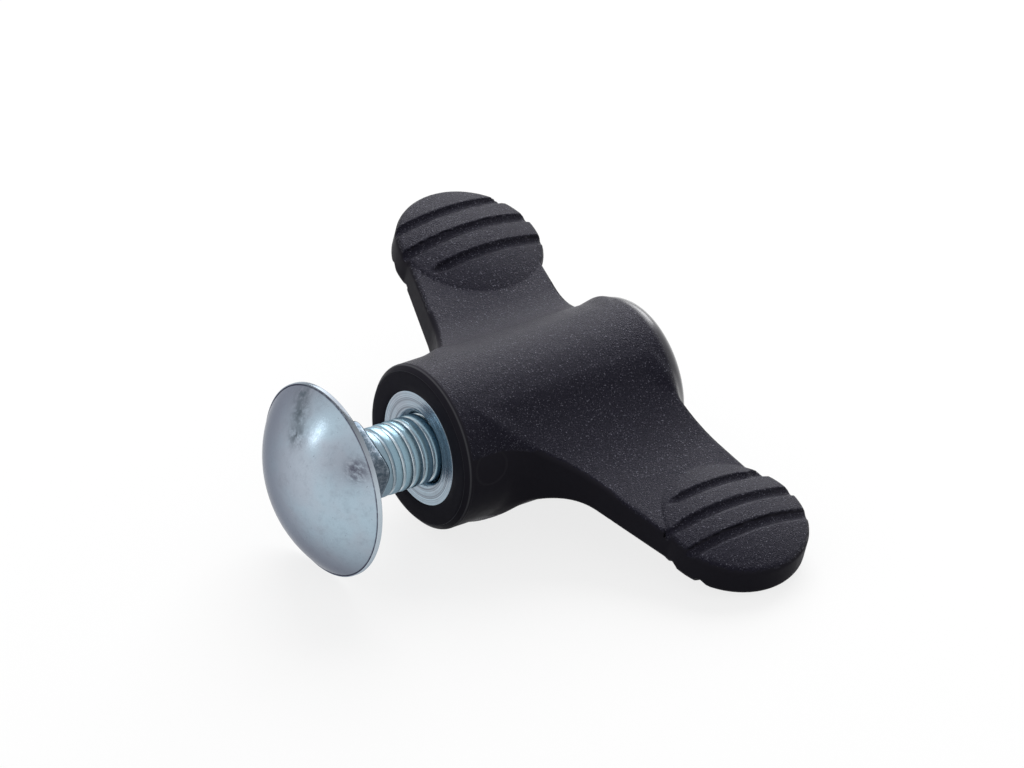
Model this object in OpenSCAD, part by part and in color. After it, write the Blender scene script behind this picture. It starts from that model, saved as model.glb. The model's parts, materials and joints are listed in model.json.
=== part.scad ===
// Wing nut turned on a carriage bolt: a moulded two-winged handle with a steel insert, and the bolt it clamps with.
// The pieces are drawn on the bolt's axis, +X from the clamp face to the closed end, +Y along one wing,
// and are then laid down as the assembly rests: on the head's rim, the hub's closed end and one wing tip.

/* [Hub] */
// Diameter of the hub
hub_d = 14.2; // [12.5:0.1:17]
// Length of the hub from its clamp face to its closed end
hub_len = 22.7; // [21.5:0.1:26]
// Rounding of the hub's edge at the clamp face
face_round = 0.5; // [0.2:0.05:0.9]
// Rounding of the hub's edge at the closed end
end_round = 1.5; // [0.6:0.1:2.5]

/* [Wings] */
// Distance from the bolt axis to a wing's tip
tip_r = 25.8; // [23:0.1:32]
// Diameter of the round finger pad at the end of a wing
pad_d = 12.7; // [10:0.1:13]
// Distance of the pad's centre behind the clamp face
pad_x = 18.25; // [16:0.1:20]
// Distance of each wing's middle plane from the bolt axis, to opposite sides
wing_offset = 1.6; // [0:0.1:2.5]
// Wing thickness where it leaves the hub
root_t = 3.2; // [2.4:0.1:4.2]
// Wing thickness at the middle of the pad, which it runs into
outer_t = 2.5; // [1.8:0.05:2.55]
// Where the front edge starts to lean forward, behind the clamp face
lean_x = 9.0; // [8:0.1:11]
// Distance of that place from the bolt axis
lean_y = 10.2; // [8.5:0.1:13]
// Backward sweep of the front edge between there and the pad, in degrees
front_sweep = 17.5; // [12:0.5:20]
// Forward lean of the front edge where it runs out on the hub, in degrees
root_lean = 45; // [30:0.5:48]
// Radius of the hollow bend between the two stretches of the front edge
bend_r = 9; // [4:0.5:12]
// Where the rear edge leaves the hub, behind the clamp face
rear_x = 21.15; // [18:0.05:21.15]
// Backward sweep of the rear edge in degrees
rear_sweep = 10.5; // [0:0.5:14]
// Fillet between the hub and the wing face that lies further from the axis
broad_fillet = 14; // [6:0.5:18]
// Fillet between the hub and the wing face that lies nearer the axis
close_fillet = 7; // [2:0.5:8]

/* [Finger pads] */
// Thickness of the pad at its edge
pad_edge_t = 2.6; // [2.55:0.05:3.4]
// Rise of each domed pad face from the edge to the middle
pad_crown = 1.15; // [0.8:0.05:1.4]
// Number of grip grooves on each pad face
groove_count = 3; // [1:1:3]
// Spacing of the grip grooves
groove_pitch = 2.75; // [2:0.05:3]
// Width of a grip groove
groove_w = 1.1; // [0.6:0.05:1.5]
// Depth of a grip groove
groove_depth = 0.5; // [0.2:0.02:0.56]
// Shift of the groove pattern from the pad's centre, outward on the one face and inward on the other
groove_shift = 0.65; // [0:0.05:1]
// Reach of the grooves' ends past the pad's edge
groove_reach = 0.15; // [0.05:0.05:0.3]

/* [Threaded insert] */
// Diameter of the steel insert
insert_d = 9.9; // [8.5:0.1:11]
// Length of the steel insert
insert_len = 14; // [10:0.5:16]
// Diameter of the waist that keys the insert in the moulding
waist_d = 8.6; // [7.8:0.1:9.4]
// Length of the waist
waist_len = 4; // [2:0.5:6]
// Diameter of the countersink at the insert's mouth
sink_d = 6.9; // [6.4:0.1:8]
// Depth of the countersink
sink_depth = 0.45; // [0.2:0.05:1]

/* [Carriage bolt] */
// Outside diameter of the bolt's thread
thread_d = 5.9; // [5.5:0.1:6]
// Length of the bolt under its head
bolt_len = 25; // [20:0.5:27]
// Radial clearance between the thread's envelope and the insert's bore
thread_clearance = 0.05; // [0.02:0.01:0.1]
// Chamfer at the bolt's end
end_chamfer = 0.8; // [0.3:0.1:1.2]
// Gap between the head's underside and the clamp face
clamp_gap = 9.25; // [6:0.25:12]
// Diameter of the head over its rim
head_d = 16.6; // [15.5:0.1:20]
// Height of the head
head_h = 3.95; // [3:0.1:4.5]
// Thickness of the head's rim
rim_t = 0.45; // [0.3:0.05:0.8]
// Width of the rim's flat step outside the dome
rim_step = 0.35; // [0.2:0.05:0.6]
// Width of the square neck across its flats
neck_w = 6.2; // [5.9:0.05:6.4]
// Length of the square neck
neck_len = 4; // [3:0.1:4.6]
// Rounding of the square neck's corners, as a share of the corner height that is kept
neck_corner_keep = 0.6; // [0.3:0.05:0.9]
// Turn of the square neck about the bolt axis
neck_turn = 8.2; // [0:0.1:45]
// Free depth behind the bolt's end in the hub
end_space = 2; // [1:0.25:4]

/* [Hidden] */
$fn = 96;
fine = 180;

hub_r = hub_d / 2;
pad_r = pad_d / 2;
pad_y = tip_r - pad_r;
pad_top = pad_edge_t / 2 + pad_crown;
dome_r = (pad_r * pad_r + pad_crown * pad_crown) / (2 * pad_crown);
taper = atan((root_t - outer_t) / 2 / (pad_y - hub_r));
thread_r = thread_d / 2;
bore_r = thread_r + thread_clearance;
head_r = head_d / 2;
head_back = -clamp_gap - head_h;
dome_edge_r = head_r - rim_step;
dome_rise = head_h - rim_t;
head_sphere_r = (dome_edge_r * dome_edge_r + dome_rise * dome_rise) / (2 * dome_rise);
neck_corner_r = neck_w / 2 + neck_corner_keep * (sqrt(2) - 1) * neck_w / 2;
bolt_end = bolt_len - clamp_gap;
core_end = max(bolt_end, insert_len) + end_space;
past = 1;

// Groove profile: an arc of this radius, wide and deep as asked
groove_arc_r = (groove_w * groove_w / 4 + groove_depth * groove_depth) / (2 * groove_depth);

// Rest pose: the head's rim and the hub's rounded end touch the ground, then one finger pad, by its dome
// or, where the dome is too flat for that, by its outer edge
rest_a = hub_len - end_round + clamp_gap;
rest_b = head_r - (hub_r - end_round);
rest_pitch = atan2(rest_b, rest_a) - asin(end_round / sqrt(rest_a * rest_a + rest_b * rest_b));
face_height = head_r * cos(rest_pitch) - clamp_gap * sin(rest_pitch);
pad_height = (face_height - pad_x * sin(rest_pitch)) / cos(rest_pitch);
tip_under = wing_offset - pad_edge_t / 2;
edge_roll = asin(pad_height / sqrt(tip_r * tip_r + tip_under * tip_under)) + atan2(tip_under, tip_r);
dome_over = wing_offset - pad_top + dome_r;
dome_height = pad_height - dome_r / cos(rest_pitch);
dome_roll = asin(dome_height / sqrt(pad_y * pad_y + dome_over * dome_over)) + atan2(dome_over, pad_y);
rest_roll = asin(pad_r / dome_r) > dome_roll ? dome_roll : edge_roll;
rest_back = (pad_x + pad_r) * cos(rest_pitch) + pad_y * sin(rest_roll) * sin(rest_pitch);
rest_front = head_back * cos(rest_pitch);

// Height of a wing face over the wing's middle plane, at a distance y from the bolt axis
function half_t(y) = root_t / 2 - (y - hub_r) * tan(taper);

// Place of groove number i on a pad face, outward from the pad's centre
function groove_y(i, shift) = (i - (groove_count - 1) / 2) * groove_pitch + shift;

// Centre of the fillet that touches the hub and a wing face, which stands face_z over the axis at y = 0
function fillet_s(r, face_z) = sqrt(pow(hub_r + r, 2) - pow(r + face_z * cos(taper), 2));
function fillet_centre(r, face_z) = let (d = r + face_z * cos(taper), s = fillet_s(r, face_z))
    [d * sin(taper) + s * cos(taper), d * cos(taper) - s * sin(taper)];
function fillet_foot(r, face_z) = fillet_centre(r, face_z) - r * [sin(taper), cos(taper)];

// Turns a profile drawn as radius over X into a solid round the bolt axis
module about_axis() {
    rotate([0, 90, 0]) rotate([0, 0, 90]) rotate_extrude() rotate([0, 0, 90]) mirror([0, 1, 0]) children();
}

// Lays the assembly down as it rests, with the ground at z = 0
module at_rest() {
    translate([-(rest_front + rest_back) / 2, 0, face_height]) rotate([rest_roll, rest_pitch, 0]) children();
}

module hub_profile() {
    difference() {
        square([hub_len, hub_r]);
        difference() {
            translate([-past, hub_r - face_round]) square([past + face_round, past + face_round]);
            translate([face_round, hub_r - face_round]) circle(face_round);
        }
        difference() {
            translate([hub_len - end_round, hub_r - end_round]) square(end_round + past);
            translate([hub_len - end_round, hub_r - end_round]) circle(end_round);
        }
    }
}

module insert_profile() {
    waist_x = (insert_len - waist_len) / 2;
    difference() {
        square([insert_len, insert_d / 2]);
        translate([waist_x, waist_d / 2]) square([waist_len, insert_d / 2]);
    }
}

// Outline of one wing seen square to its face, X along the bolt and Y outward.
// The two stretches of the front edge meet in an arc that touches both, from its outer to its inner foot
module wing_plan() {
    lean = [lean_x, lean_y];
    run = bend_r * tan((root_lean - front_sweep) / 2);
    outer_foot = lean + run * [sin(front_sweep), cos(front_sweep)];
    inner_foot = lean - run * [sin(root_lean), cos(root_lean)];
    difference() {
        polygon([outer_foot, [lean_x + (pad_y - lean_y) * tan(front_sweep), pad_y],
            [rear_x + (pad_y - hub_r) * tan(rear_sweep), pad_y], [rear_x - hub_r * tan(rear_sweep), 0],
            [lean_x - lean_y * tan(root_lean), 0], inner_foot]);
        translate(outer_foot + bend_r * [-cos(front_sweep), sin(front_sweep)]) circle(bend_r, $fn = fine);
    }
}

// Section of one wing seen along the bolt: a tapered blade blended into the hub by two arcs
module wing_section() {
    far = tip_r + past;
    lift = half_t(0);
    polygon([[0, -wing_offset - lift], [0, -wing_offset + lift], [far, -wing_offset + half_t(far)],
        [far, -wing_offset - half_t(far)]]);
    blend(close_fillet, lift - wing_offset);
    mirror([0, 1]) blend(broad_fillet, lift + wing_offset);
}

module blend(r, face_z) {
    centre = fillet_centre(r, face_z);
    difference() {
        polygon([[0, 0], centre, fillet_foot(r, face_z), [0, face_z]]);
        translate(centre) circle(r, $fn = fine);
    }
}

// Finger pad: a disc with a domed face on either side of the wing's middle plane
module pad() {
    intersection() {
        cylinder(r = pad_r, h = 2 * (pad_top + past), center = true);
        translate([0, 0, pad_top - dome_r]) rotate([90, 0, 0]) sphere(dome_r, $fn = fine);
        translate([0, 0, dome_r - pad_top]) rotate([90, 0, 0]) sphere(dome_r, $fn = fine);
    }
}

// Grip grooves of the upper pad face: they run along the bolt and follow the dome
module grooves(shift) {
    intersection() {
        translate([0, 0, pad_top - dome_r]) for (i = [0 : groove_count - 1]) {
            y = groove_y(i, shift);
            ring_r = sqrt(dome_r * dome_r - y * y) - groove_depth + groove_arc_r;
            translate([0, y, 0]) rotate([90, 0, 0]) rotate_extrude($fn = fine)
                translate([ring_r, 0]) circle(groove_arc_r);
        }
        cylinder(r = pad_r + groove_reach, h = pad_top + past);
    }
}

// One wing on the +Y side
module wing() {
    pad_centre = [pad_x, pad_y, -wing_offset];
    difference() {
        union() {
            intersection() {
                translate([0, 0, -hub_d]) linear_extrude(2 * hub_d) wing_plan();
                rotate([90, 0, 90]) linear_extrude(hub_len + pad_d) wing_section();
            }
            translate(pad_centre) pad();
        }
        translate(pad_centre) grooves(groove_shift);
        translate(pad_centre) mirror([0, 0, 1]) grooves(-groove_shift);
    }
}

module wing_handle() {
    color([0.13, 0.13, 0.15]) at_rest() difference() {
        union() {
            about_axis() hub_profile();
            wing();
            rotate([180, 0, 0]) wing();
        }
        about_axis() insert_profile();
        about_axis() square([core_end, bore_r]);
    }
}

module threaded_insert() {
    color([0.72, 0.75, 0.78]) at_rest() about_axis() difference() {
        insert_profile();
        translate([-past, 0]) square([insert_len + 2 * past, bore_r]);
        polygon([[-past, 0], [-past, sink_d / 2], [0, sink_d / 2], [sink_depth, bore_r], [sink_depth, 0]]);
    }
}

module carriage_bolt() {
    color([0.66, 0.7, 0.74]) at_rest() {
        about_axis() {
            intersection() {
                translate([head_back + head_sphere_r, 0]) circle(head_sphere_r, $fn = fine);
                translate([head_back, 0]) square([head_h, dome_edge_r]);
            }
            translate([-clamp_gap - rim_t, 0]) square([rim_t, head_r]);
            translate([-clamp_gap, 0]) polygon([[0, 0], [0, thread_r], [bolt_len - end_chamfer, thread_r],
                [bolt_len, thread_r - end_chamfer], [bolt_len, 0]]);
        }
        translate([-clamp_gap, 0, 0]) rotate([neck_turn, 0, 0]) intersection() {
            translate([-rim_t / 2, -neck_w / 2, -neck_w / 2]) cube([neck_len + rim_t / 2, neck_w, neck_w]);
            rotate([0, 90, 0]) cylinder(r = neck_corner_r, h = 2 * neck_len, center = true);
        }
    }
}

wing_handle();
threaded_insert();
carriage_bolt();
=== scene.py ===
import json
import math
import bpy
import numpy as np
from mathutils import Matrix, Vector


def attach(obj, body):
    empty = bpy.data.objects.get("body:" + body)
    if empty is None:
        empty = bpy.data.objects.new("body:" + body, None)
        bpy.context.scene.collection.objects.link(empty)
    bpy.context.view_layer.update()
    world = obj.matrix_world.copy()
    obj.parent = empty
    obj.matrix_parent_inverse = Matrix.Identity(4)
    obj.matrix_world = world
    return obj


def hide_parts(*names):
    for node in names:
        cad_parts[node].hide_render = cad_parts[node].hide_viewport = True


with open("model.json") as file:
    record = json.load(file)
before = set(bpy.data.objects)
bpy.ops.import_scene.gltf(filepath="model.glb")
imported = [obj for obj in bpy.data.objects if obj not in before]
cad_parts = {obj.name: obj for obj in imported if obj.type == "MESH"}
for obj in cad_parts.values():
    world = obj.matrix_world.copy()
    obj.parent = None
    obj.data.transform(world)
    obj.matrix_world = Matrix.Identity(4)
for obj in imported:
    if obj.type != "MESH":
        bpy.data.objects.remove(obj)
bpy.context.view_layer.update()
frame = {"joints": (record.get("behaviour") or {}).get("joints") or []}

# How the part lies
# The nut turns about the bolt, so its joint gives the axis and the middle of the clamp face. Pieces are
# drawn in millimetres on that axis, x from the clamp face to the closed end and y along a wing, then laid
# down: the head's rim, the hub's end and the dome of one finger pad touch the ground.
MM = 0.001
wing_tip_r = 25.8
wing_offset = 1.6
pad_x = 18.25
pad_r = 6.35
pad_edge_t = 2.6
pad_crown = 1.15

pad_y = wing_tip_r - pad_r
pad_top = pad_edge_t / 2 + pad_crown
pad_dome_r = (pad_r ** 2 + pad_crown ** 2) / (2 * pad_crown)
turn_joint = frame["joints"][0]
bolt_axis = Vector(turn_joint["axis"])
face_centre = Vector(turn_joint["pos_m"])
lie_pitch = math.asin(-bolt_axis.z)
dome_over = wing_offset - pad_top + pad_dome_r
dome_height = (face_centre.z / MM - pad_x * math.sin(lie_pitch) - pad_dome_r) / math.cos(lie_pitch)
lie_roll = math.asin(dome_height / math.hypot(pad_y, dome_over)) + math.atan2(dome_over, pad_y)
lie_turn = np.array(Matrix.Rotation(lie_pitch, 3, "Y") @ Matrix.Rotation(lie_roll, 3, "X"))


def set_attribute(mesh, name, kind, field, values):
    """Gives each point of a mesh a named value that its material can read."""
    attribute = mesh.attributes.new(name, kind, "POINT")
    attribute.data.foreach_set(field, values.astype(np.float32).ravel())


def add_piece(name, points, faces, material, body, node):
    """Makes a smooth piece from points in millimetres on the bolt's axis, in place of a CAD node."""
    mesh = bpy.data.meshes.new(name)
    mesh.from_pydata((points * MM @ lie_turn.T + np.array(face_centre)).tolist(), [], faces)
    mesh.update()
    mesh.polygons.foreach_set("use_smooth", np.ones(len(mesh.polygons), bool))
    set_attribute(mesh, "place", "FLOAT_VECTOR", "vector", points)
    mesh.materials.append(material)
    piece = bpy.data.objects.new(name, mesh)
    bpy.context.scene.collection.objects.link(piece)
    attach(piece, body)
    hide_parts(node)
    return piece


# Carriage bolt
# Cold headed steel with a bright zinc plating that has gone bluish: a domed head with a thin lip,
# a square neck that keeps it from turning, and a rolled M6 thread. It is one piece.
clamp_gap = 9.25
head_r = 8.29
head_h = 3.945
lip_t = 0.44
lip_round = 0.08
seam_r = 8.16
seam_depth = 0.05
seam_bank = ((0.4, 0.03), (1.0, 0.0))  # share of the seam's depth, distance inside the seam
dome_margin = 0.08
dome_start = 1.5  # degrees from the top of the dome
back_rings = (7.2, 6.2, 5.2)
cap_r = 0.02
neck_half = 3.1
neck_len = 4.0
neck_turn = math.radians(8.2)
neck_squareness = 6.0  # power of the rounded square
neck_fillet = 0.3
neck_flat_start = 0.8
shoulder_arc = (15, 80)  # degrees
thread_r = 2.95
thread_pitch = 1.0
thread_depth = 0.3
thread_groove = 0.1
thread_crown = 0.015
thread_start = 0.02
thread_start_share = 0.35  # of the full depth, at the neck
thread_rise = 0.9  # turns in which it gains a full depth
bolt_len = 25.0
end_chamfer = 0.8

bolt_turns = 128
dome_rows = 44
lip_rows = 6
foot_rows = 7
flat_rows = 8
shoulder_rows = 5
thread_step = 0.05

head_back = -clamp_gap - head_h
head_edge = -clamp_gap - lip_t
dome_rise = head_edge - head_back
dome_r = (seam_r ** 2 + dome_rise ** 2) / (2 * dome_rise)
dome_angle = math.degrees(math.asin((seam_r - dome_margin) / dome_r))
neck_end = -clamp_gap + neck_len
bolt_end = bolt_len - clamp_gap
theta = np.linspace(0, 2 * math.pi, bolt_turns, endpoint=False)


def arc(x, r, radius, start, stop, count):
    """Points of an arc in a profile of x and radius; degrees from the head's side, outward."""
    angles = np.radians(np.linspace(start, stop, count))
    return [(x - radius * math.cos(a), r + radius * math.sin(a)) for a in angles]


def lathe(profile, turns, closed=False):
    """Points and faces of a turned form; a row of its profile is x and one radius, or one a point."""
    along = np.array([np.full(turns, x) for x, r in profile])
    out = np.array([np.full(turns, r) for x, r in profile])
    angles = np.linspace(0, 2 * math.pi, turns, endpoint=False)
    points = np.stack([along, out * np.cos(angles), out * np.sin(angles)], -1).reshape(-1, 3)
    around = np.roll(np.arange(turns), -1)
    rows = len(profile)
    faces = []
    for i in range(rows if closed else rows - 1):
        low = i * turns
        high = (i + 1) % rows * turns
        for j, k in enumerate(around):
            faces.append((low + j, high + j, high + k, low + k))
    if not closed:
        faces.append(list(range(turns)))
        faces.append([rows * turns - 1 - j for j in range(turns)])
    return points, faces


def neck_radius(grow=0.0):
    """Outline of the rounded square neck, as a radius all round."""
    turned = theta - neck_turn
    spread = np.abs(np.cos(turned)) ** neck_squareness + np.abs(np.sin(turned)) ** neck_squareness
    return (neck_half + grow) * spread ** (-1 / neck_squareness)


def thread_radius(x):
    """Rolled right hand thread: broad rounded crests and narrow grooves, fading in at the neck."""
    phase = ((x - neck_end) / thread_pitch - theta / (2 * math.pi)) % 1.0
    groove = np.exp(-((phase - 0.5) / thread_groove) ** 2)
    crown = thread_crown * np.cos(2 * math.pi * phase)
    fade = min(1.0, thread_start_share + (x - neck_end) / (thread_rise * thread_pitch))
    cone = thread_r - max(0.0, x - (bolt_end - end_chamfer))
    return np.minimum(thread_r - fade * (thread_depth * groove + thread_crown - crown), cone)


bolt_profile = [(head_back, cap_r)]
bolt_profile += arc(head_back + dome_r, 0.0, dome_r, dome_start, dome_angle, dome_rows)
bolt_profile += [(head_edge + seam_depth * share, seam_r - inset) for share, inset in seam_bank]
bolt_profile += arc(head_edge + lip_round, head_r - lip_round, lip_round, 0, 90, lip_rows)
bolt_profile += arc(-clamp_gap - lip_round, head_r - lip_round, lip_round, 90, 180, lip_rows)
bolt_profile += [(-clamp_gap, r) for r in back_rings]
for a in np.radians(np.linspace(0, 90, foot_rows)):
    foot = neck_radius(neck_fillet * (1 - math.sin(a)))
    bolt_profile.append((-clamp_gap + neck_fillet * (1 - math.cos(a)), foot))
for x in np.linspace(-clamp_gap + neck_flat_start, neck_end - neck_fillet, flat_rows):
    bolt_profile.append((x, neck_radius()))
for a in np.radians(np.linspace(*shoulder_arc, shoulder_rows)):
    shoulder = neck_radius(-neck_fillet * (1 - math.cos(a)))
    bolt_profile.append((neck_end - neck_fillet * (1 - math.sin(a)), shoulder))
for x in np.arange(neck_end + thread_start, bolt_end, thread_step):
    bolt_profile.append((x, thread_radius(x)))
bolt_profile += [(bolt_end, thread_r - end_chamfer), (bolt_end, cap_r)]
bolt_points, bolt_faces = lathe(bolt_profile, bolt_turns)


def new_material(name):
    """An empty node material, its tree and its Principled shader."""
    material = bpy.data.materials.new(name)
    material.use_nodes = True
    tree = material.node_tree
    return material, tree, tree.nodes["Principled BSDF"]


def new_group(name, **outputs):
    """A node group that takes a place and puts out values: the group, its place and its output node."""
    group = bpy.data.node_groups.new(name, "ShaderNodeTree")
    group.interface.new_socket("Place", in_out="INPUT", socket_type="NodeSocketVector")
    for label, kind in outputs.items():
        group.interface.new_socket(label, in_out="OUTPUT", socket_type=kind)
    place = group.nodes.new("NodeGroupInput").outputs["Place"]
    return group, place, group.nodes.new("NodeGroupOutput")


def add_node(tree, kind, **settings):
    """A node with its properties and its input values, by name."""
    node = tree.nodes.new(kind)
    for key, value in settings.items():
        if hasattr(node, key):
            setattr(node, key, value)
        else:
            node.inputs[key.replace("_", " ")].default_value = value
    return node


def feed(tree, socket, value):
    """Links a socket to another one, or sets it to a number or a colour."""
    if isinstance(value, (int, float, tuple)):
        socket.default_value = value
    else:
        tree.links.new(value, socket)


def bolt_millimetres(tree):
    """Places on the piece in millimetres from the clamp face's middle, along the bolt and the wings."""
    return add_node(tree, "ShaderNodeAttribute", attribute_name="place").outputs["Vector"]


def axis_and_radius(tree, where):
    """How far a place lies along the axis, and how far out from it."""
    parts = add_node(tree, "ShaderNodeSeparateXYZ")
    tree.links.new(where, parts.inputs[0])
    flat = add_node(tree, "ShaderNodeCombineXYZ")
    tree.links.new(parts.outputs[1], flat.inputs[1])
    tree.links.new(parts.outputs[2], flat.inputs[2])
    out = add_node(tree, "ShaderNodeVectorMath", operation="LENGTH")
    tree.links.new(flat.outputs[0], out.inputs[0])
    return parts.outputs[0], out.outputs["Value"]


def distance_from(tree, where, middle):
    """How far a place lies from a point of the piece, in millimetres."""
    node = add_node(tree, "ShaderNodeVectorMath", operation="DISTANCE")
    node.inputs[1].default_value = middle
    tree.links.new(where, node.inputs[0])
    return node.outputs["Value"]


def math_node(tree, operation, a, b=0.0, clamp=False):
    """A Math node; a and b are sockets or numbers."""
    node = add_node(tree, "ShaderNodeMath", operation=operation, use_clamp=clamp)
    feed(tree, node.inputs[0], a)
    feed(tree, node.inputs[1], b)
    return node.outputs[0]


def product(tree, a, b):
    """Where two masks meet, or a share of one mask."""
    return math_node(tree, "MULTIPLY", a, b)


def noise(tree, where, scale, detail=2.0, roughness=0.5, stretch=None):
    """Noise of so many cells a millimetre."""
    if stretch:
        squeezed = add_node(tree, "ShaderNodeVectorMath", operation="MULTIPLY")
        squeezed.inputs[1].default_value = stretch
        tree.links.new(where, squeezed.inputs[0])
        where = squeezed.outputs[0]
    node = add_node(tree, "ShaderNodeTexNoise", Scale=scale, Detail=detail, Roughness=roughness)
    tree.links.new(where, node.inputs["Vector"])
    return node.outputs["Fac"]


def span(tree, value, low, high, to_low=0.0, to_high=1.0):
    """Maps a value smoothly from one span to another."""
    node = add_node(tree, "ShaderNodeMapRange", interpolation_type="SMOOTHSTEP")
    node.inputs["From Min"].default_value = low
    node.inputs["From Max"].default_value = high
    node.inputs["To Min"].default_value = to_low
    node.inputs["To Max"].default_value = to_high
    tree.links.new(value, node.inputs["Value"])
    return node.outputs[0]


def mix_colour(tree, share, a, b):
    """Mixes two colours by a share, each a socket or a value; 0, 6 and 7 number the node's sockets."""
    node = add_node(tree, "ShaderNodeMix", data_type="RGBA")
    for number, value in ((0, share), (6, a), (7, b)):
        feed(tree, node.inputs[number], value)
    return node.outputs[2]


def bump(tree, height, distance):
    """Bump from a height map that is worth distance millimetres."""
    node = add_node(tree, "ShaderNodeBump", Strength=1.0, Distance=distance * MM)
    tree.links.new(height, node.inputs["Height"])
    return node.outputs[0]


def line_at(tree, value, middle, half_width):
    """A soft line: 1 where a value is at middle, 0 from half_width on."""
    off = math_node(tree, "ABSOLUTE", math_node(tree, "SUBTRACT", value, middle))
    return span(tree, off, half_width, half_width / 3)


def spot(tree, where, middle, spread):
    """A soft round spot: 1 in its middle, 0 outside spread millimetres."""
    return span(tree, distance_from(tree, where, middle), spread, 0.0)


zinc_blue = (0.395, 0.505, 0.59, 1.0)
zinc_warm = (0.405, 0.45, 0.52, 1.0)
zinc_dull = (0.17, 0.20, 0.24, 1.0)
drift_window = (0.4, 0.66)
drift_share = 0.8
patch_window = (0.45, 0.8)
patch_share = 0.4
haze_window = (0.3, 0.75)
zinc_rough = (0.16, 0.28)
zinc_ripple = 0.005

zinc_finish, zinc_in, zinc_out = new_group("zinc_finish", Colour="NodeSocketColor", Haze="NodeSocketFloat")
zinc_drift = noise(zinc_finish, zinc_in, scale=0.2, detail=3.0)
zinc_drift = span(zinc_finish, zinc_drift, *drift_window, to_high=drift_share)
zinc_patch = noise(zinc_finish, zinc_in, scale=1.1, detail=8.0, roughness=0.75)
zinc_patch = span(zinc_finish, zinc_patch, *patch_window, to_high=patch_share)
zinc_haze = noise(zinc_finish, zinc_in, scale=5.0, detail=5.0, roughness=0.65)
zinc_tone = mix_colour(zinc_finish, zinc_drift, zinc_blue, zinc_warm)
zinc_tone = mix_colour(zinc_finish, zinc_patch, zinc_tone, zinc_dull)
zinc_finish.links.new(zinc_tone, zinc_out.inputs["Colour"])
zinc_finish.links.new(zinc_haze, zinc_out.inputs["Haze"])


def plated(name):
    """A metal with the zinc finish: the material, its tree, shader, places, colour and roughness."""
    material, tree, shader = new_material(name)
    shader.inputs["Metallic"].default_value = 1.0
    where = bolt_millimetres(tree)
    finish = add_node(tree, "ShaderNodeGroup", node_tree=zinc_finish)
    tree.links.new(where, finish.inputs["Place"])
    haze = finish.outputs["Haze"]
    tree.links.new(bump(tree, haze, zinc_ripple), shader.inputs["Normal"])
    rough = span(tree, haze, *haze_window, *zinc_rough)
    return material, tree, shader, where, finish.outputs["Colour"], rough


edge_tone = (0.61, 0.635, 0.68, 1.0)
bright_place = (-10.5, -5.0, 5.0)
bright_r = 4.2
# Painted shade with a violet tint: the bolt darkens with distance from a lit place on the head.
painted_shade_tone = (0.17, 0.175, 0.215, 1.0)
painted_shade_r = 11.5
painted_shade_share = 0.9
# A dark tone for the head's stain, also used for the painted shade in the seam by the lip.
stain_and_shade_tone = (0.05, 0.05, 0.08, 1.0)
stain_place = (-10.3, -4.6, 5.6)
stain_r = 1.6
stain_stretch = (1.0, 0.6, 1.4)
stain_window = (0.34, 0.6)
shade_place = (-10.4, -3.8, 5.6)
shade_r = 3.8
shade_share = 0.45
smudge_tone = (0.10, 0.125, 0.15, 1.0)
smudge_places = ((-10.2, 3.9, 6.3), (-11.2, 2.8, 5.7), (-12.0, 1.6, 4.6))
smudge_r = 1.7
smudge_window = (0.3, 0.62)
speck_window = (0.68, 0.76)
speck_share = 0.6
rim_shade_line_half = 0.09
rim_window = (0.3, 0.55)
rim_least = 0.5
# Painted highlight: a lighter tone on the lip, with painted shade darkening a patch of it on one side.
lip_highlight_tone = (0.46, 0.53, 0.59, 1.0)
lip_edge = (0.04, 0.09)
lip_shade = (0.10, 0.11, 0.125, 1.0)
lip_shade_place = (-9.5, 0.5, 8.2)
lip_shade_r = 9.0
neck_tone = (0.13, 0.155, 0.185, 1.0)
neck_grey = (0.05, 0.07, 0.09, 1.0)
neck_window = (0.35, 0.6)
neck_foot = (0.1, 0.5)
neck_fade = 0.5
thread_blue = (0.23, 0.365, 0.44, 1.0)
thread_share = 0.85
thread_fade = 0.2
thread_dull = 0.12
# Painted highlight: a light tone in the bottoms of the thread's grooves.
groove_highlight = (0.78, 0.83, 0.86, 1.0)
groove_bank = (0.04, 0.16)
first_turn_len = 1.8
first_turn_share = 0.6

bolt_zinc, bolt_tree, bolt_shader, bolt_where, bolt_tone, bolt_rough = plated("bolt_zinc")
bolt_along, bolt_out = axis_and_radius(bolt_tree, bolt_where)
# Painted shade with a violet tint, growing with distance from a lit place on the head.
from_bright = distance_from(bolt_tree, bolt_where, bright_place)
painted_shade = span(bolt_tree, from_bright, bright_r, painted_shade_r, to_high=painted_shade_share)
smear = noise(bolt_tree, bolt_where, scale=1.6, detail=5.0, roughness=0.65)
rim_share = span(bolt_tree, smear, *rim_window, to_low=rim_least)
# Painted shade: a dark line in the seam between the dome and the lip, stronger in some places than others.
rim_shade_line = product(bolt_tree, line_at(bolt_tree, bolt_out, seam_r, rim_shade_line_half), rim_share)
# Painted highlight on the lip, and painted shade on a patch of it on one side.
on_lip = span(bolt_tree, bolt_out, seam_r + lip_edge[0], seam_r + lip_edge[1])
lip_shaded = spot(bolt_tree, bolt_where, lip_shade_place, lip_shade_r)
lip_highlight_and_shade = mix_colour(bolt_tree, lip_shaded, lip_highlight_tone, lip_shade)
on_thread = span(bolt_tree, bolt_along, neck_end - thread_fade, neck_end + thread_fade, 0.0, thread_share)
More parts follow.
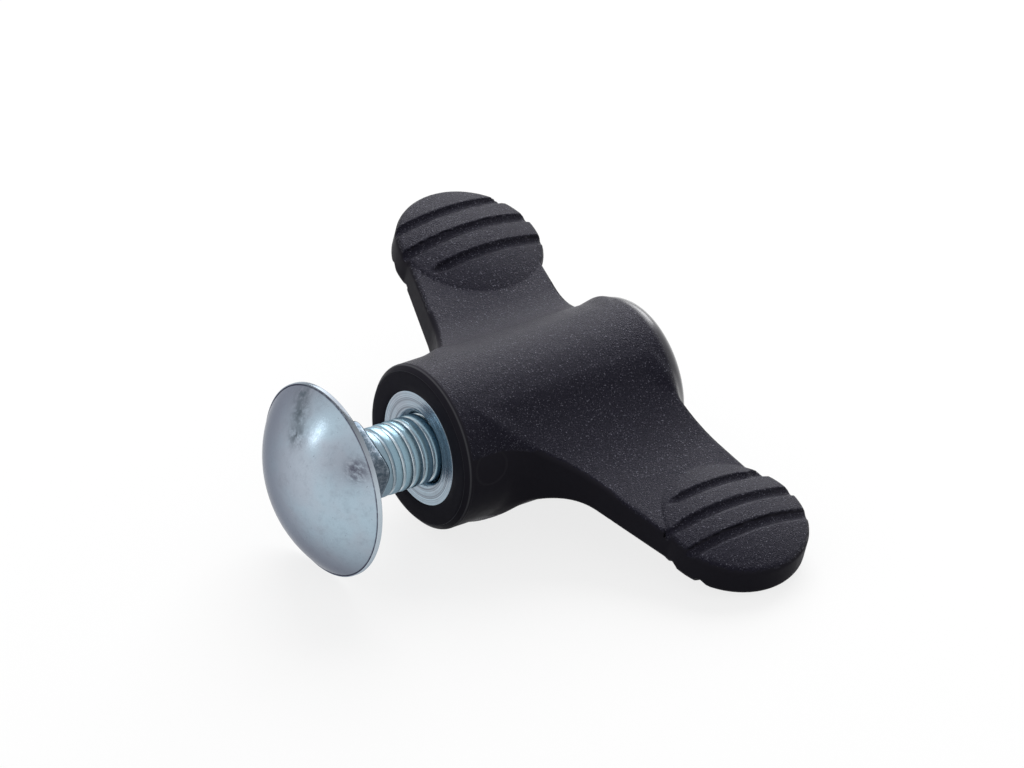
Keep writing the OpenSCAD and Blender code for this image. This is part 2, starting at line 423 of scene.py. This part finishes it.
# Painted highlight: the bottoms of the thread's grooves are lightened.
in_groove = span(bolt_tree, bolt_out, thread_r - groove_bank[0], thread_r - groove_bank[1])
in_groove = product(bolt_tree, on_thread, in_groove)
first_turn = span(bolt_tree, bolt_along, neck_end + first_turn_len, neck_end, to_high=first_turn_share)
first_turn = product(bolt_tree, on_thread, first_turn)
past_head = span(bolt_tree, bolt_along, -clamp_gap + neck_foot[0], -clamp_gap + neck_foot[1])
before_thread = span(bolt_tree, bolt_along, neck_end, neck_end - neck_fade)
on_neck = product(bolt_tree, past_head, before_thread)
neck_grain = noise(bolt_tree, bolt_where, scale=3.0, detail=4.0, roughness=0.7)
neck_grain = product(bolt_tree, on_neck, span(bolt_tree, neck_grain, *neck_window))
smudge_smear = span(bolt_tree, smear, *smudge_window)
smudges = [spot(bolt_tree, bolt_where, place, smudge_r) for place in smudge_places]
shade = product(bolt_tree, spot(bolt_tree, bolt_where, shade_place, shade_r), shade_share)
stain_smear = noise(bolt_tree, bolt_where, scale=2.4, detail=4.0, roughness=0.7, stretch=stain_stretch)
stain_smear = span(bolt_tree, stain_smear, *stain_window)
stain = product(bolt_tree, spot(bolt_tree, bolt_where, stain_place, stain_r), stain_smear)
speck = noise(bolt_tree, bolt_where, scale=2.6, detail=2.0, roughness=0.6)
speck = span(bolt_tree, speck, *speck_window, to_high=speck_share)
bolt_coats = [(painted_shade, painted_shade_tone), (rim_shade_line, stain_and_shade_tone), (on_lip, lip_highlight_and_shade)]
bolt_coats += [(on_thread, thread_blue), (in_groove, groove_highlight), (first_turn, zinc_dull)]
bolt_coats += [(on_neck, neck_tone), (neck_grain, neck_grey)]
bolt_coats += [(product(bolt_tree, smudge, smudge_smear), smudge_tone) for smudge in smudges]
bolt_coats += [(shade, painted_shade_tone), (stain, stain_and_shade_tone), (speck, zinc_dull)]
for mask, tone in bolt_coats:
    bolt_tone = mix_colour(bolt_tree, mask, bolt_tone, tone)
bolt_tree.links.new(bolt_tone, bolt_shader.inputs["Base Color"])
bolt_shader.inputs["Specular Tint"].default_value = edge_tone
bolt_rough = math_node(bolt_tree, "ADD", bolt_rough, product(bolt_tree, on_thread, thread_dull))
bolt_tree.links.new(bolt_rough, bolt_shader.inputs["Roughness"])
add_piece("bolt", bolt_points, bolt_faces, bolt_zinc, "bolt", "carriage_bolt")

# Threaded insert
# A turned steel nut that the handle is moulded round, flush with the clamp face. Its end shows the
# fine rings that the lathe tool left, and a countersink leads the bolt in.
insert_r = 4.95
insert_len = 14.0
bore_r = 3.0
sink_r = 3.45
sink_depth = 0.45
sink_round = 0.06
ring_pitch = 0.3
ring_depth = 0.035
ring_steps = 8
rim_w = 0.08
rim_break = ((0.02, 0.05), (0.07, 0.01), (0.3, 0.01), (insert_len, 0.01))  # depth, inset
insert_turns = 160
ring_window = (0.42, 0.62)
ring_least = 0.12

insert_profile = [(sink_depth, bore_r), (sink_round, sink_r - sink_round)]
for r in np.arange(sink_r, insert_r - rim_w, ring_pitch / ring_steps):
    insert_profile.append((ring_depth * (0.5 - 0.5 * math.cos(2 * math.pi * r / ring_pitch)), r))
insert_profile += [(depth, insert_r - inset) for depth, inset in rim_break]
insert_profile.append((insert_len, bore_r))
insert_points, insert_faces = lathe(insert_profile, insert_turns, closed=True)

insert_zinc, insert_tree, insert_shader, insert_where, insert_tone, insert_rough = plated("insert_zinc")
insert_out = axis_and_radius(insert_tree, insert_where)[1]
ring_place = add_node(insert_tree, "ShaderNodeCombineXYZ")
insert_tree.links.new(insert_out, ring_place.inputs[0])
ring_shade = noise(insert_tree, ring_place.outputs[0], scale=3.2, detail=3.0, roughness=0.6)
ring_shade = span(insert_tree, ring_shade, *ring_window, to_low=ring_least)
insert_tone = mix_colour(insert_tree, ring_shade, insert_tone, zinc_dull)
insert_tree.links.new(insert_tone, insert_shader.inputs["Base Color"])
insert_tree.links.new(insert_rough, insert_shader.inputs["Roughness"])
add_piece("insert", insert_points, insert_faces, insert_zinc, "nut", "threaded_insert")

# Wing handle
# Black glass filled nylon, moulded in one shot round the insert: a round hub and two swept wings that are
# offset to opposite sides of the axis, with domed and grooved finger pads. Its broad faces have a spark
# eroded grain; its edge walls, its clamp face and the hub's flanks came from smoother steel.
hub_r = 7.1
hub_len = 22.7
end_round = 1.5
ring_end = 0.5  # the face ring takes the hub's front as far as this
root_t = 3.2
outer_t = 2.5
lean_x = 9.0  # the front edge bends here
lean_y = 10.2
front_sweep = math.radians(17.5)
root_lean = math.radians(45)
bend_r = 9.0
rear_x = 21.15
rear_sweep = math.radians(10.5)
blade_start = 2.0  # inside the hub
broad_fillet = 14.0
close_fillet = 7.0
wall_fillet = 1.0
wall_fillet_depth = 1.6
wall_fillet_start = 2.5
wall_fillet_rise = 2.5
least_fillet = 0.02
pad_fillet = 0.03
groove_count = 3
groove_pitch = 2.75
groove_w = 0.98
groove_depth = 0.42
groove_shift = 0.65  # outward on the upper face, inward on the lower
groove_reach = 0.15
groove_round = 0.1
groove_runout = 1.6
runout_rise = 0.4
runout_inset = 0.2
edge_round = 0.4
core_depth = 17.75
far_off = 9.0  # more than any groove's reach

taper = math.atan((root_t - outer_t) / 2 / (pad_y - hub_r))
blade_lift = root_t / 2 + hub_r * math.tan(taper)
groove_arc = (groove_w ** 2 / 4 + groove_depth ** 2) / (2 * groove_depth)
pad_dome_z = pad_top - pad_dome_r


def round_max(a, b, radius):
    """Where two solids overlap, with the edge between them rounded."""
    corner = np.hypot(np.maximum(a + radius, 0), np.maximum(b + radius, 0))
    return np.minimum(np.maximum(a, b), -radius) + corner


def round_min(a, b, radius):
    """Two solids joined, with the corner between them filled to a radius."""
    corner = np.hypot(np.maximum(radius - a, 0), np.maximum(radius - b, 0))
    return np.maximum(np.minimum(a, b), radius) - corner


def hub_distance(x, y, z):
    """Distance to the hub behind its face ring, rounded at the closed end."""
    out = np.hypot(y, z) - (hub_r - end_round)
    along = x - (hub_len - end_round)
    corner = np.hypot(np.maximum(out, 0), np.maximum(along, 0))
    end = corner + np.minimum(np.maximum(out, along), 0) - end_round
    return np.maximum(end, ring_end - x)


def blended_face(y, z, radius, face_z):
    """Distance to what lies under a wing face, face_z over the axis, that runs into the hub by a fillet."""
    reach = radius + face_z * math.cos(taper)
    run = math.sqrt((hub_r + radius) ** 2 - reach ** 2)
    cy = reach * math.sin(taper) + run * math.cos(taper)
    cz = reach * math.cos(taper) - run * math.sin(taper)
    plain = np.minimum((z - face_z) * math.cos(taper) + y * math.sin(taper), np.hypot(y, z) - hub_r)
    before_foot = (y - cy) * math.cos(taper) - (z - cz) * math.sin(taper) < 0
    past_hub = cy * z - cz * y < 0
    return np.where(before_foot & past_hub, radius - np.hypot(y - cy, z - cz), plain)


def blade_plan(x, y):
    """Distance to the blade's outline, seen square to the wing, without the pad."""
    run = bend_r * math.tan((root_lean - front_sweep) / 2)
    ox = lean_x + run * math.sin(front_sweep)
    oy = lean_y + run * math.cos(front_sweep)
    ix = lean_x - run * math.sin(root_lean)
    iy = lean_y - run * math.cos(root_lean)
    cx = ox - bend_r * math.cos(front_sweep)
    cy = oy + bend_r * math.sin(front_sweep)
    outer = (lean_x - x) * math.cos(front_sweep) + (y - lean_y) * math.sin(front_sweep)
    inner = (lean_x - x) * math.cos(root_lean) + (y - lean_y) * math.sin(root_lean)
    below = (x - ox) * math.sin(front_sweep) + (y - oy) * math.cos(front_sweep) < 0
    above = (x - ix) * math.sin(root_lean) + (y - iy) * math.cos(root_lean) > 0
    front = np.where(below & above, bend_r - np.hypot(x - cx, y - cy), np.minimum(outer, inner))
    rear = (x - rear_x) * math.cos(rear_sweep) - (y - hub_r) * math.sin(rear_sweep)
    return np.maximum(np.maximum(front, rear), np.maximum(y - pad_y, blade_start - y))


def groove_distance(px, py, pz, shift, runout):
    """Distance to the grip grooves of the pad face that looks up; runout lifts their cutter."""
    nearest = np.full(np.shape(px), far_off)
    for i in range(groove_count):
        y = (i - (groove_count - 1) / 2) * groove_pitch + shift
        ring = math.sqrt(pad_dome_r ** 2 - y ** 2) - groove_depth + groove_arc
        swept = np.hypot(py - y, np.hypot(px, pz - pad_dome_z) - ring) - groove_arc
        nearest = np.minimum(nearest, np.where(pz > 0, swept, far_off))
    return np.maximum(nearest + runout, np.hypot(px, py) - pad_r - groove_reach)


def wing_distance(x, y, z):
    """Distance to the wing on the +y side and, apart, how deep a place lies inside its outline."""
    plan = blade_plan(x, y)
    section = np.maximum(blended_face(y, z, close_fillet, blade_lift - wing_offset),
                         blended_face(y, -z, broad_fillet, blade_lift + wing_offset))
    blade = round_max(plan, section, edge_round)
    px = x - pad_x
    py = y - pad_y
    pz = z + wing_offset
    from_middle = np.hypot(px, py)
    upper = np.hypot(from_middle, pz - pad_dome_z) - pad_dome_r
    lower = np.hypot(from_middle, pz + pad_dome_z) - pad_dome_r
    pad = round_max(from_middle - pad_r, np.maximum(upper, lower), edge_round)
    wing = round_min(blade, pad, pad_fillet)
    runout = runout_rise * np.clip(from_middle - (pad_r - groove_runout), 0, far_off)
    runout = runout * np.clip(-plan - runout_inset, 0, 1)
    for way in (1, -1):
        grooves = groove_distance(px, py, way * pz, way * groove_shift, runout)
        wing = round_max(wing, -grooves, groove_round)
    return wing, plan


def handle_distance(x, y, z):
    """Distance to the whole handle: hub and both wings, less the insert's seat and the bolt's core."""
    hub = hub_distance(x, y, z)
    solid = hub
    for way in (1, -1):
        wing, plan = wing_distance(x, way * y, way * z)
        wall = wall_fillet * np.clip(1 + plan / wall_fillet_depth, 0, 1)
        wall = wall * np.clip((way * y - wall_fillet_start) / wall_fillet_rise, 0, 1)
        joined = np.minimum(solid, round_min(hub, wing, least_fillet + wall))
        solid = np.where(way * y > 0, joined, solid)
    r = np.hypot(y, z)
    seat = np.maximum(r - insert_r, x - insert_len)
    core = np.maximum(r - bore_r, x - core_depth)
    return np.maximum(solid, -np.minimum(seat, core))


net_cell = 0.21
net_margin = 0.6
net_nudge = 0.03
settle_rounds = 4
least_steepness = 0.25


def gradient(distance, points):
    """Slope of a distance at points."""
    slope = np.empty_like(points)
    for i in range(3):
        ahead = points.copy()
        behind = points.copy()
        ahead[:, i] += net_nudge
        behind[:, i] -= net_nudge
        slope[:, i] = (distance(*ahead.T) - distance(*behind.T)) / (2 * net_nudge)
    return slope


def surface_net(distance, low, high, step):
    """Closed mesh of quads round the places where a distance is negative, with a normal for each point."""
    axes = [np.arange(a, b + step, step) for a, b in zip(low, high)]
    value = distance(*np.meshgrid(*axes, indexing="ij", sparse=True))
    inside = value < 0
    shape = np.array(value.shape) - 1
    total = np.zeros((*shape, 3))
    count = np.zeros(shape)
    corners = [(i, j, k) for i in (0, 1) for j in (0, 1) for k in (0, 1)]

    def at(array, corner):
        """What an array holds at one corner of every cell."""
        return array[tuple(slice(c, c + n) for c, n in zip(corner, shape))]

    # A point for each cell that the surface crosses, in the middle of the crossings
    for a in corners:
        for axis in range(3):
            if a[axis]:
                continue
            b = tuple(c + (i == axis) for i, c in enumerate(a))
            va = at(value, a)
            vb = at(value, b)
            crossed = at(inside, a) != at(inside, b)
            share = np.where(crossed, va / np.where(crossed, va - vb, 1), 0)
            for i in range(3):
                total[..., i] += np.where(crossed, a[i] + (share if i == axis else 0), 0)
            count += crossed
    used = count > 0
    number = np.full(shape, -1)
    number[used] = np.arange(used.sum())
    points = np.array(low) + (np.argwhere(used) + total[used] / count[used][:, None]) * step

    # A quad round each grid edge that the surface crosses
    quads = []
    for axis in range(3):
        one = (axis + 1) % 3
        two = (axis + 2) % 3
        first = inside.take(range(inside.shape[axis] - 1), axis)
        second = inside.take(range(1, inside.shape[axis]), axis)
        place = np.argwhere(first != second)
        place = place[(place[:, one] > 0) & (place[:, two] > 0)]
        ring = []
        for back_one, back_two in ((1, 1), (0, 1), (0, 0), (1, 0)):
            cell_at = place.copy()
            cell_at[:, one] -= back_one
            cell_at[:, two] -= back_two
            ring.append(number[tuple(cell_at.T)])
        quad = np.stack(ring, 1)
        leaving = inside[tuple(place.T)]
        quads.append(np.where(leaving[:, None], quad, quad[:, ::-1]))

    # The points settle onto the surface itself
    for _ in range(settle_rounds):
        slope = gradient(distance, points)
        steepness = np.maximum((slope ** 2).sum(1), least_steepness)
        move = np.clip(distance(*points.T) / steepness, -step / 2, step / 2)
        points = points - move[:, None] * slope
    slope = gradient(distance, points)
    return points, np.concatenate(quads).tolist(), slope / np.linalg.norm(slope, axis=1)[:, None]


handle_low = (-net_margin, -wing_tip_r - net_margin, -hub_r - net_margin)
handle_high = (pad_x + pad_r + net_margin, wing_tip_r + net_margin, hub_r + net_margin)
hub_and_wings = surface_net(handle_distance, handle_low, handle_high, net_cell)
handle_points, handle_faces, handle_normals = hub_and_wings

# The clamp face is a turned ring of its own: a fine line is moulded into it, its rim is bevelled, and
# a band behind the bevel stands a hair proud of the hub.
ring_overlap = 0.1
ring_inset = 0.3
seat_edge = ((0.06, 0.0), (0.02, 0.01), (0.0, 0.05))  # depth, distance outside the insert
face_rings = (5.6, 6.2)
mould_line_r = 6.585
mould_line = ((0.0, 0.065), (0.006, 0.045), (0.05, 0.015))  # depth, half the line's width there
rim_bevel = ((0.006, 0.43), (0.03, 0.40), (0.36, 0.07), (0.40, 0.04), (0.44, 0.02), (0.48, 0.01))
rim_band = ((0.54, -0.008), (0.66, -0.008), (0.70, 0.02))  # as the bevel, depth and inset from the hub
ring_turns = 192

face_ring = [(ring_end + ring_overlap, insert_r)]
face_ring += [(depth, insert_r + out) for depth, out in seat_edge]
face_ring += [(0.0, r) for r in face_rings]
face_ring += [(depth, mould_line_r - half) for depth, half in mould_line]
face_ring += [(depth, mould_line_r + half) for depth, half in reversed(mould_line)]
face_ring += [(depth, hub_r - inset) for depth, inset in rim_bevel + rim_band]
face_ring.append((ring_end + ring_overlap, hub_r - ring_inset))
ring_points, ring_faces = lathe(face_ring, ring_turns, closed=True)

# Where the grain lies: on the broad faces of blades, hub and pads, but not on the glossy closed end
edge_strip = (0.15, 0.4)
blade_root = (2.5, 3.5)
flank_z = 3.8  # the hub's flanks lie within this height
flank_soft = 0.2
hub_soft = 0.3
pad_tilt = (0.45, 0.65)
pad_soft = 0.5
end_span = (-0.1, 0.4)
end_soft = 0.2


def ease(value, low, high):
    """0 below low, 1 above high."""
    return np.clip((value - low) / (high - low), 0, 1)


at_x, at_y, at_z = handle_points.T
at_side = np.abs(at_y)
on_blade = ease(-blade_plan(at_x, at_side), *edge_strip) * ease(at_side, *blade_root)
on_hub = ease(np.abs(at_z), flank_z - flank_soft, flank_z + flank_soft)
on_hub = on_hub * ease(-at_side, -hub_r - hub_soft, -hub_r)
on_pad = ease(at_side, pad_y - pad_r, pad_y - pad_r + pad_soft)
on_pad = on_pad * ease(np.abs(handle_normals[:, 2]), *pad_tilt)
on_end = ease(at_x, hub_len - end_round + end_span[0], hub_len - end_round + end_span[1])
on_end = on_end * ease(-at_side, -hub_r, -hub_r + end_soft)
handle_grain = np.clip(np.maximum(np.maximum(on_blade, on_hub), on_pad) * (1 - on_end), 0, 1)
handle_skin = (handle_grain + on_end)[np.array(handle_faces)].mean(1) < 0.5

ring_start = len(handle_points)
all_points = np.concatenate([handle_points, ring_points])
all_faces = handle_faces + [tuple(ring_start + i for i in face) for face in ring_faces]
all_normals = np.concatenate([handle_normals @ lie_turn.T, np.zeros_like(ring_points)])
all_grain = np.concatenate([handle_grain, np.zeros(len(ring_points))])
all_gloss = np.concatenate([on_end, np.zeros(len(ring_points))])
all_skins = np.concatenate([handle_skin, np.ones(len(ring_faces), bool)])

nylon_black = (0.0125, 0.0121, 0.0175, 1.0)
nylon_pit = (0.004, 0.004, 0.006, 1.0)
nylon_glint = (0.18, 0.18, 0.22, 1.0)
nylon_sleek = (0.0270, 0.0257, 0.0330, 1.0)
nylon_sheen = (0.64, 0.61, 1.0, 1.0)
# A pale tone for the painted highlights on the clamp face and for the faint ring round the gate mark.
nylon_pale_line = (0.09, 0.09, 0.10, 1.0)

mould_values = {"Fine": "NodeSocketFloat", "Broad": "NodeSocketFloat"}
mould_texture, mould_in, mould_out = new_group("mould_texture", **mould_values)
mould_fine = noise(mould_texture, mould_in, scale=8.0, detail=2.0, roughness=0.65)
mould_broad = noise(mould_texture, mould_in, scale=1.6, detail=3.0, roughness=0.5)
mould_texture.links.new(mould_fine, mould_out.inputs["Fine"])
mould_texture.links.new(mould_broad, mould_out.inputs["Broad"])


def moulded(name):
    """A moulded plastic: the material, its tree, shader, places, fine and broad texture."""
    material, tree, shader = new_material(name)
    shader.inputs["Specular Tint"].default_value = nylon_sheen
    where = bolt_millimetres(tree)
    texture = add_node(tree, "ShaderNodeGroup", node_tree=mould_texture)
    tree.links.new(where, texture.inputs["Place"])
    return material, tree, shader, where, texture.outputs["Fine"], texture.outputs["Broad"]


pit_window = (0.5, 0.36)
glint_window = (0.6, 0.72)
grain_height = 0.10
grain_broad_share = 0.5
grain_least = 0.08
grain_rough = (0.30, 0.42)

grained_nylon, grained_tree, grained_shader, _, fine, broad = moulded("grained_nylon")
grain = add_node(grained_tree, "ShaderNodeAttribute", attribute_name="grain").outputs["Fac"]
gloss = add_node(grained_tree, "ShaderNodeAttribute", attribute_name="gloss").outputs["Fac"]
pit = span(grained_tree, fine, *pit_window)
glint = product(grained_tree, span(grained_tree, fine, *glint_window), grain)
grained_tone = mix_colour(grained_tree, pit, nylon_black, nylon_pit)
grained_tone = mix_colour(grained_tree, glint, grained_tone, nylon_glint)
relief = math_node(grained_tree, "ADD", fine, product(grained_tree, broad, grain_broad_share))
relief = product(grained_tree, relief, span(grained_tree, grain, 0.0, 1.0, to_low=grain_least))
roughness = span(grained_tree, grain, 0.0, 1.0, *grain_rough)
grained_tree.links.new(grained_tone, grained_shader.inputs["Base Color"])
grained_tree.links.new(roughness, grained_shader.inputs["Roughness"])
grained_tree.links.new(bump(grained_tree, relief, grain_height), grained_shader.inputs["Normal"])
grained_tree.links.new(gloss, grained_shader.inputs["Coat Weight"])
grained_shader.inputs["Coat Roughness"].default_value = 0.22
grained_shader.inputs["Specular IOR Level"].default_value = 0.125

gate_place = (2.47, -6.54, 2.77)
gate_r = 1.5
gate_line_half = 0.15
gate_line_share = 0.12
gate_step_half = 0.12
# Painted highlights: two pale lines on the clamp face, at the moulded line and at the rim's bevel.
face_highlight_radii = (6.62, 7.04)
face_highlight_half = 0.06
face_fade = (0.75, 0.6)
sleek_drift = 0.3
sleek_window = (0.3, 0.7)
sleek_rough = (0.36, 0.44)
sleek_fine_share = 0.15
sleek_height = 0.06

sleek_nylon, sleek_tree, sleek_shader, sleek_where, sleek_fine, sleek_broad = moulded("sleek_nylon")
sleek_along, sleek_out = axis_and_radius(sleek_tree, sleek_where)
on_face = span(sleek_tree, sleek_along, *face_fade)
drift = product(sleek_tree, sleek_broad, sleek_drift)
sleek_tone = mix_colour(sleek_tree, drift, nylon_sleek, nylon_black)
# Painted highlights: pale lines on the clamp face, at the moulded line and at the rim's bevel.
for face_highlight_r in face_highlight_radii:
    face_highlight = product(sleek_tree, line_at(sleek_tree, sleek_out, face_highlight_r, face_highlight_half), on_face)
    sleek_tone = mix_colour(sleek_tree, face_highlight, sleek_tone, nylon_pale_line)
# A faint pale ring round the gate mark.
from_gate = distance_from(sleek_tree, sleek_where, gate_place)
gate_line = product(sleek_tree, line_at(sleek_tree, from_gate, gate_r, gate_line_half), gate_line_share)
sleek_tone = mix_colour(sleek_tree, gate_line, sleek_tone, nylon_pale_line)
gate_step = span(sleek_tree, from_gate, gate_r - gate_step_half, gate_r + gate_step_half)
sleek_relief = math_node(sleek_tree, "ADD", gate_step, product(sleek_tree, sleek_fine, sleek_fine_share))
sleek_roughness = span(sleek_tree, sleek_broad, *sleek_window, *sleek_rough)
sleek_tree.links.new(sleek_tone, sleek_shader.inputs["Base Color"])
sleek_tree.links.new(sleek_roughness, sleek_shader.inputs["Roughness"])
sleek_tree.links.new(bump(sleek_tree, sleek_relief, sleek_height), sleek_shader.inputs["Normal"])
sleek_shader.inputs["Specular IOR Level"].default_value = 0.012

handle = add_piece("handle", all_points, all_faces, grained_nylon, "nut", "wing_handle")
handle.data.materials.append(sleek_nylon)
handle.data.polygons.foreach_set("material_index", all_skins.astype(np.int32))
set_attribute(handle.data, "grain", "FLOAT", "value", all_grain)
set_attribute(handle.data, "gloss", "FLOAT", "value", all_gloss)
handle.data.normals_split_custom_set_from_vertices(all_normals.tolist())

# Floor, backdrop and light
# A plain floor in an even white room: one broad soft panel stands behind the part, and one small lamp on
# the left puts the highlight on the head. Floor and room are white to the camera and in mirrors.
floor_tone = (0.15, 0.15, 0.15, 1.0)
floor_shine = 0.80
floor_half = 3.0
room_white = (1.0, 1.0, 1.0, 1.0)
room_light = 0.5
panel_distance = 0.7


def seen_directly(tree):
    """1 for rays from the camera, and for mirror and glass rays."""
    path = add_node(tree, "ShaderNodeLightPath")
    total = math_node(tree, "ADD", path.outputs["Is Camera Ray"], path.outputs["Is Glossy Ray"])
    return math_node(tree, "ADD", total, path.outputs["Is Transmission Ray"], clamp=True)


floor_mesh = bpy.data.meshes.new("floor")
floor_corners = [(x * floor_half, y * floor_half, 0) for x, y in ((-1, -1), (1, -1), (1, 1), (-1, 1))]
floor_mesh.from_pydata(floor_corners, [], [(0, 1, 2, 3)])
floor = bpy.data.objects.new("floor", floor_mesh)
bpy.context.scene.collection.objects.link(floor)
floor_material, floor_tree, floor_shader = new_material("floor_white")
floor_shader.inputs["Base Color"].default_value = floor_tone
floor_shader.inputs["Roughness"].default_value = 0.9
floor_shader.inputs["Emission Color"].default_value = room_white
floor_glow = product(floor_tree, seen_directly(floor_tree), floor_shine)
floor_tree.links.new(floor_glow, floor_shader.inputs["Emission Strength"])
floor_mesh.materials.append(floor_material)

world = bpy.data.worlds.new("room")
bpy.context.scene.world = world
world.use_nodes = True
room_tree = world.node_tree
room = room_tree.nodes["Background"]
room.inputs["Color"].default_value = room_white
room_glow = span(room_tree, seen_directly(room_tree), 0.0, 1.0, to_low=room_light)
room_tree.links.new(room_glow, room.inputs["Strength"])


def add_panel(name, azimuth, elevation, width, height, brightness):
    """A soft light panel that faces the part from the same distance as the others."""
    lamp = bpy.data.lights.new(name, "AREA")
    lamp.shape = "RECTANGLE"
    lamp.size = width
    lamp.size_y = height
    lamp.energy = brightness * math.pi * width * height
    panel = bpy.data.objects.new(name, lamp)
    bpy.context.scene.collection.objects.link(panel)
    a = math.radians(azimuth)
    e = math.radians(elevation)
    away = Vector((math.sin(a) * math.cos(e), -math.cos(a) * math.cos(e), math.sin(e)))
    panel.location = away * panel_distance
    panel.rotation_euler = away.to_track_quat("Z", "Y").to_euler()


add_panel("back_panel", azimuth=135, elevation=38, width=0.6, height=0.6, brightness=4.6)
add_panel("left_lamp", azimuth=-119, elevation=21, width=0.09, height=0.2, brightness=1.8)

# Camera
# It stands where the photograph was taken from, far off with a long lens. Its angles, its scale and the
# pixel that the middle of the clamp face falls on make the part's outline fall on the photograph's.
image_size = (1024, 768)
face_pixel = (418.0, 448.3)
view_azimuth = math.radians(-34.85)
view_elevation = math.radians(30.77)
view_roll = math.radians(-0.67)
view_distance = 1.0
view_pixels = 12125.0
view_far = 20
sensor_mm = 36.0

camera_data = bpy.data.cameras.new("camera")
camera_data.sensor_width = sensor_mm
camera_data.lens = view_pixels / image_size[0] * sensor_mm
camera_data.clip_end = view_far
camera = bpy.data.objects.new("camera", camera_data)
bpy.context.scene.collection.objects.link(camera)
looks = (Matrix.Rotation(view_azimuth, 3, "Z") @ Matrix.Rotation(math.pi / 2 - view_elevation, 3, "X")
         @ Matrix.Rotation(view_roll, 3, "Z"))
face_right = (face_pixel[0] - image_size[0] / 2) / view_pixels
face_up = (image_size[1] / 2 - face_pixel[1]) / view_pixels
face_in_view = Vector((face_right, face_up, -1.0)) * view_distance
camera.matrix_world = Matrix.Translation(face_centre - looks @ face_in_view) @ looks.to_4x4()
bpy.context.scene.camera = camera
bpy.context.scene.view_settings.view_transform = "Standard"
